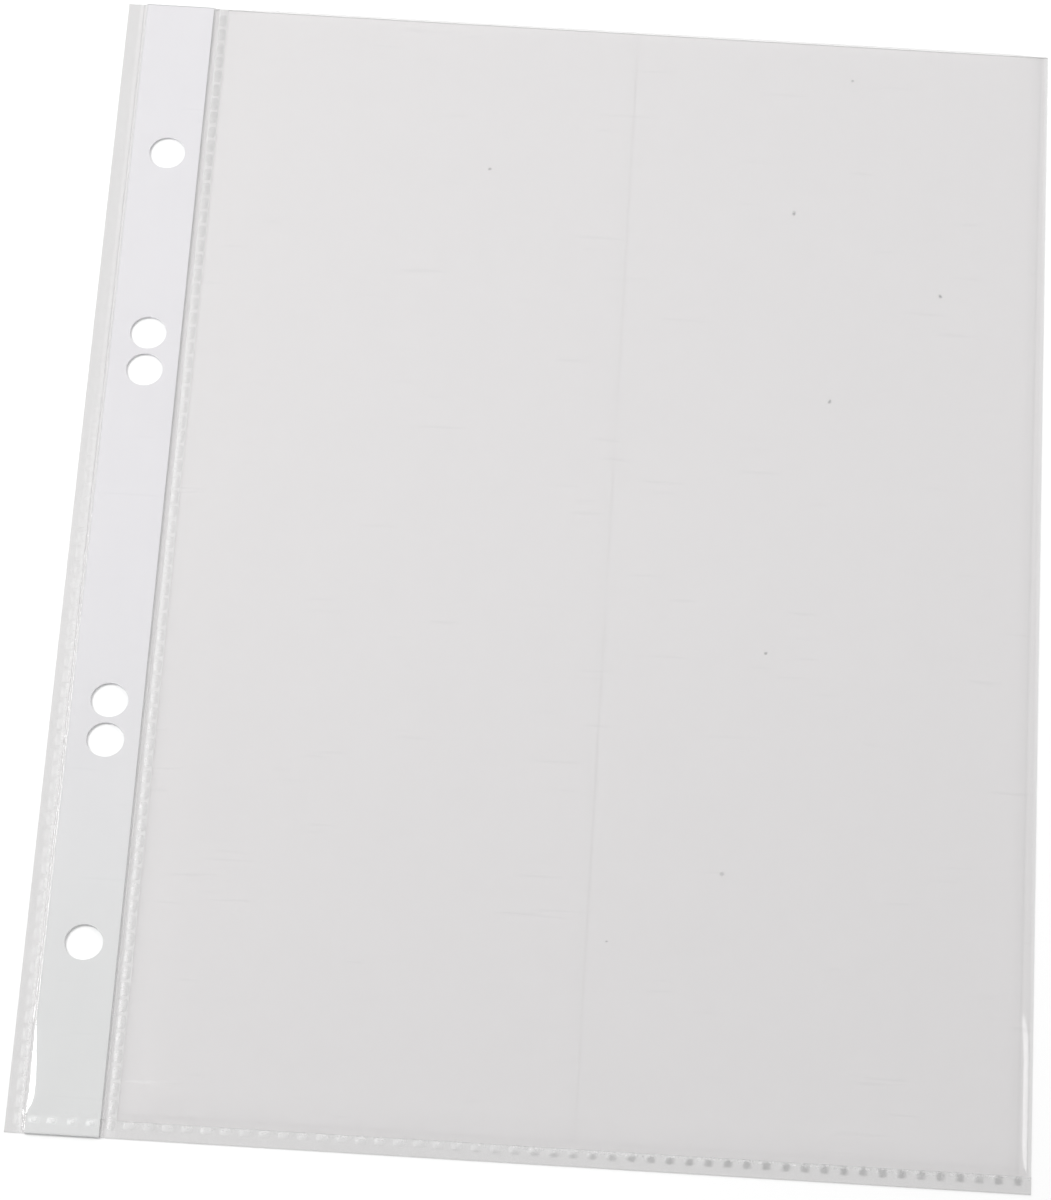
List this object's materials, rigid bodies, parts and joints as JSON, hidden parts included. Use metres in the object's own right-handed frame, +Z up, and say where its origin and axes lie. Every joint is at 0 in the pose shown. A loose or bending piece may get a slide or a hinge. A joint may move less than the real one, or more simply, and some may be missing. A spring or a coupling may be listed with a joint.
{
  "type": "sheet protector",
  "caption": "Clear film pocket for one paper size, open at the top, with a welded binding edge that holds a white strip punched for ring binders.",
  "frame": {"origin": "middle of the underside, on the surface that the sheet lies on", "axes": "+Y towards the open mouth, +X away from the binding edge, +Z up out of the front ply"},
  "size_m": [0.17, 0.221, 0.0007],
  "materials": {
    "clear_film": "clear polypropylene film, smooth and glossy",
    "weld_film": "clear film sealed and crimped into cells",
    "white_strip": "white plastic strip, satin"
  },
  "bodies": {
    "binding_edge": {"outer_weld": "weld_film", "binding_front_film": "clear_film", "binding_bottom_weld": "weld_film", "reinforcement_strip": "white_strip", "binding_back_film": "clear_film"},
    "pocket": {"inner_weld": "weld_film", "pocket_back_film": "clear_film", "bottom_weld": "weld_film", "right_fold": "clear_film", "fold_shoulder": "clear_film"},
    "front_film": {"pocket_front_film": "clear_film"}
  },
  "joints": [
    {"name": "page_fold", "type": "hinge", "parent": "binding_edge", "child": "pocket", "pos_m": [-0.0684, 0, 0.00008], "axis": [0, -1, 0], "range_deg": [-90, 90]},
    {"name": "mouth_lift", "type": "hinge", "parent": "pocket", "child": "front_film", "pos_m": [0, -0.10615, 0.00052], "axis": [1, 0, 0], "range_deg": [0, 6]}
  ]
}
